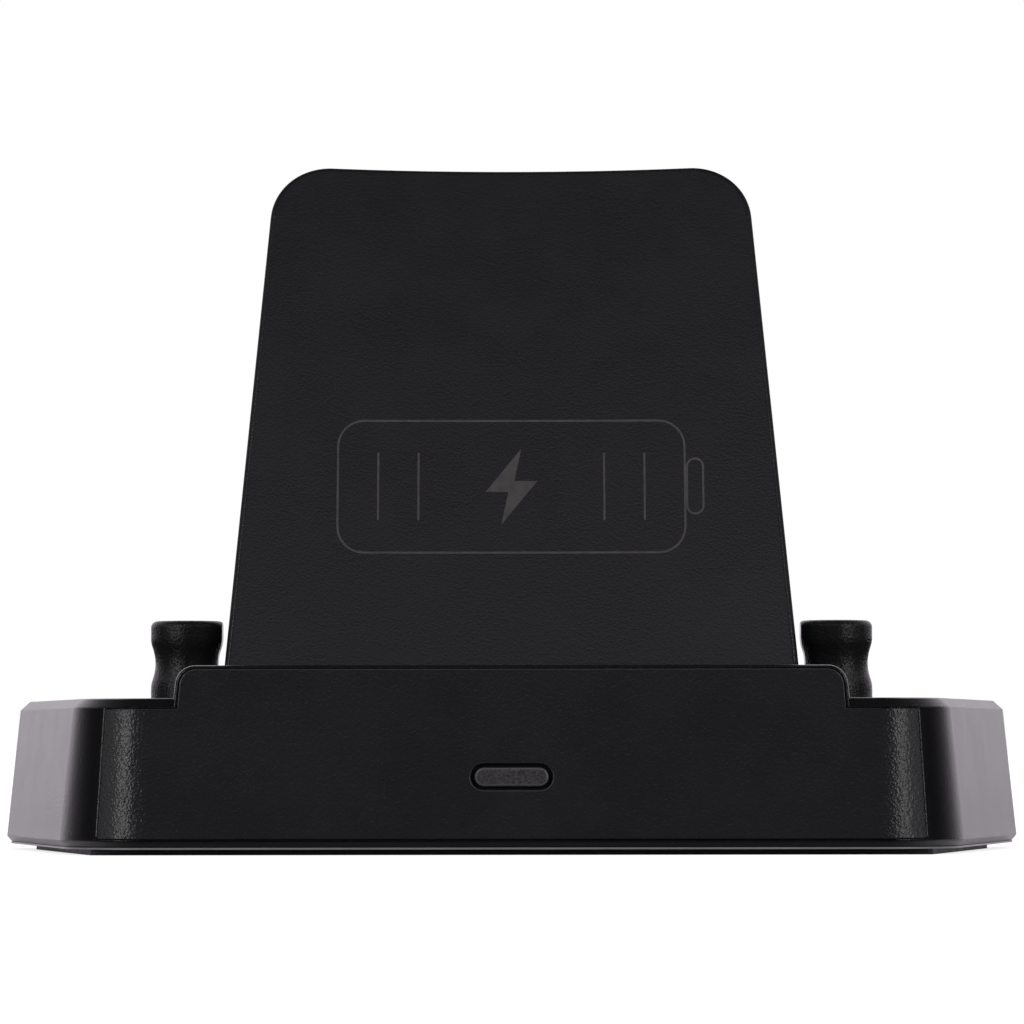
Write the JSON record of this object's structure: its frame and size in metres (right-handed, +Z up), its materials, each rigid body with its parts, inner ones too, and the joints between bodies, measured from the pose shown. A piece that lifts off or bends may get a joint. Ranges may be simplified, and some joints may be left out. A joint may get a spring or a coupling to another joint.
{
  "type": "handheld console dock",
  "caption": "Black desk dock for a handheld console: flared base with grained fascia, indicator and lip, charging cradle, leaning hollow-faced back rest and waisted side posts.",
  "frame": {"origin": "middle of the dock's footprint, on the surface it stands on", "axes": "+X to the dock's right as seen from the front, +Y to the back, +Z up"},
  "size_m": [0.168, 0.076, 0.112],
  "materials": {
    "housing_black": "satin moulded black plastic",
    "grained_black": "fine spark-grained black plastic",
    "smoky_lens": "frosted smoky light guide",
    "cover_grey": "smooth dark grey plastic",
    "mat_rubber": "matt black rubber",
    "post_rubber": "grained black soft plastic",
    "screw_steel": "zinc-plated steel",
    "insert_black": "moulded black plastic",
    "plated_steel": "nickel-plated steel",
    "board_green": "solder-masked glass-fibre board",
    "lamp_white": "white moulded lamp",
    "chip_black": "moulded chip",
    "ferrite_grey": "ferrite",
    "can_aluminium": "drawn aluminium can",
    "nylon_white": "natural nylon",
    "wire_red": "insulated wire"
  },
  "bodies": {
    "root": {"base_housing": "housing_black", "front_fascia": "grained_black", "indicator_lens": "smoky_lens", "bottom_cover": "cover_grey", "anti_slip_mat": "mat_rubber", "housing_screws": "screw_steel", "back_rest": "grained_black", "back_rest_cover": "housing_black", "back_rest_screws": "screw_steel", "left_post": "post_rubber", "right_post": "post_rubber", "post_screws": "screw_steel", "left_cradle_pad": "mat_rubber", "right_cradle_pad": "mat_rubber", "plug_carrier": "insert_black", "plug_shell": "plated_steel", "plug_core": "insert_black", "plug_board": "board_green", "carrier_screws": "screw_steel", "main_board": "board_green", "board_screws": "screw_steel", "power_socket_shell": "plated_steel", "power_socket_tongue": "insert_black", "indicator_led": "lamp_white", "controller_chip": "chip_black", "power_inductor": "ferrite_grey", "board_capacitors": "can_aluminium", "harness_header": "nylon_white", "harness_plug": "nylon_white", "plug_harness": "wire_red"}
  },
  "joints": []
}
